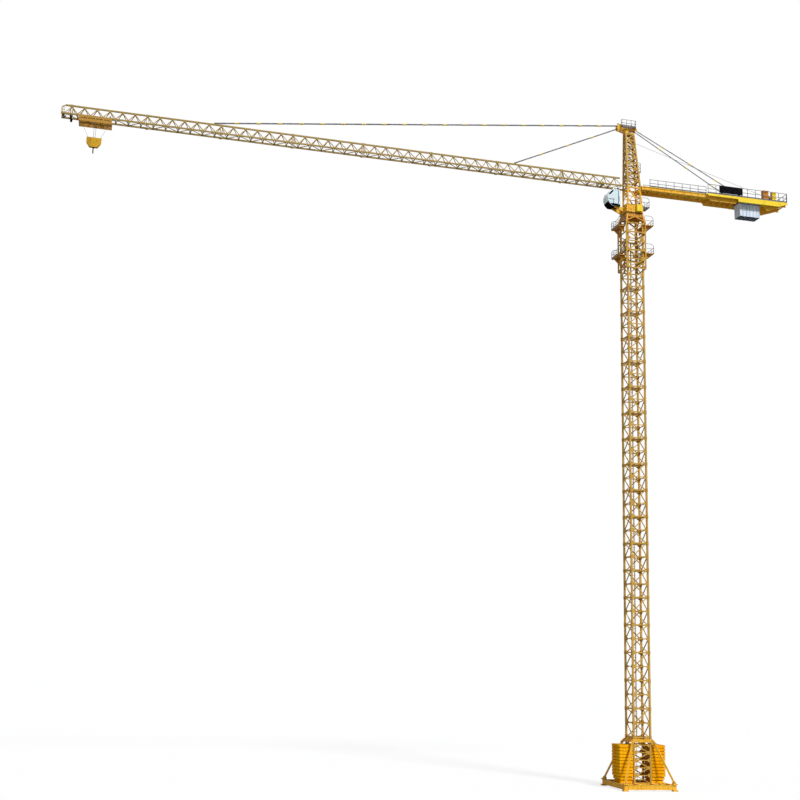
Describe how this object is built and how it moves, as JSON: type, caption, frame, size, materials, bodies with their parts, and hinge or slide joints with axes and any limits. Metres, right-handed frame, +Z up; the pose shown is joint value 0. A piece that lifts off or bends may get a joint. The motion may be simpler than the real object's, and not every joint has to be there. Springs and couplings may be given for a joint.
{
  "type": "tower crane scale model",
  "caption": "One tenth scale tower crane: lattice mast on a ballasted base, climbing cage, turning jib with travelling trolley, hoisted hook, counter-jib and cab.",
  "frame": {"origin": "on the ground plane at the mast's axis, level with the undersides of the four feet", "axes": "+Z up; the jib points along -X and the counter-jib along +X; -Y is the near side in the picture"},
  "size_m": [8.0646, 0.58, 7.2353],
  "materials": {
    "yellow_paint": "satin",
    "ballast_paint": "matte",
    "grey_steel": "satin",
    "cab_paint": "gloss",
    "cab_glass": "gloss",
    "black_rubber": "matte",
    "board_black": "satin",
    "weight_concrete": "matte",
    "rope_steel": "satin",
    "winch_orange": "satin",
    "trolley_paint": "satin",
    "hook_dark": "satin"
  },
  "bodies": {
    "mast": {"base_frame": "yellow_paint", "base_collar": "yellow_paint", "base_struts": "yellow_paint", "ballast_stacks": "ballast_paint", "mast_legs": "yellow_paint", "mast_side_front": "yellow_paint", "mast_side_left": "yellow_paint", "mast_side_back": "yellow_paint", "mast_side_right": "yellow_paint", "mast_ladder": "yellow_paint", "climb_rod": "grey_steel"},
    "climbing_cage": {"cage_posts": "yellow_paint", "cage_sides": "yellow_paint", "cage_guides": "yellow_paint", "cage_decks": "yellow_paint", "cage_rails": "grey_steel", "climb_barrel": "grey_steel", "slewing_support": "yellow_paint", "slewing_ring": "grey_steel"},
    "slewing_part": {"turntable": "yellow_paint", "slew_drives": "yellow_paint", "slewing_tower": "yellow_paint", "rest_deck": "yellow_paint", "cab_body": "cab_paint", "cab_panes": "cab_glass", "head_legs": "yellow_paint", "head_bracing": "yellow_paint", "head_ladder": "yellow_paint", "head_rest": "yellow_paint", "head_box": "yellow_paint", "head_pulleys": "grey_steel", "head_deck": "yellow_paint", "jib_chords": "yellow_paint", "jib_side_near": "yellow_paint", "jib_side_far": "yellow_paint", "jib_floor": "yellow_paint", "jib_tip": "yellow_paint", "jib_buffers": "black_rubber", "front_ties": "grey_steel", "rear_ties": "grey_steel", "counter_frame": "yellow_paint", "counter_decks": "yellow_paint", "counter_rails": "grey_steel", "sign_board": "board_black", "counter_weights": "weight_concrete", "hoist_winch": "winch_orange", "hoist_rope": "rope_steel"},
    "trolley": {"trolley_frame": "trolley_paint", "trolley_wheels": "grey_steel"},
    "hook_block": {"hook_block": "yellow_paint", "hook_falls": "rope_steel"},
    "hook": {"hook": "hook_dark"}
  },
  "joints": [
    {"name": "climb", "type": "slide", "parent": "mast", "child": "climbing_cage", "axis": [0, 0, 1], "range_m": [0, 0.1]},
    {"name": "slew", "type": "hinge", "parent": "climbing_cage", "child": "slewing_part", "pos_m": [0, 0, 6.1216], "axis": [0, 0, 1], "continuous": true},
    {"name": "trolley_travel", "type": "slide", "parent": "slewing_part", "child": "trolley", "axis": [1, 0, -0.0048], "range_m": [-0.06, 5.35]},
    {"name": "hook_hoist", "type": "slide", "parent": "trolley", "child": "hook_block", "axis": [0, 0, -1], "range_m": [-0.08, 5.9], "deforming": ["hook_falls"]},
    {"name": "hook_swivel", "type": "hinge", "parent": "hook_block", "child": "hook", "pos_m": [-5.843, 0, 6.155], "axis": [0, 0, 1], "continuous": true}
  ]
}
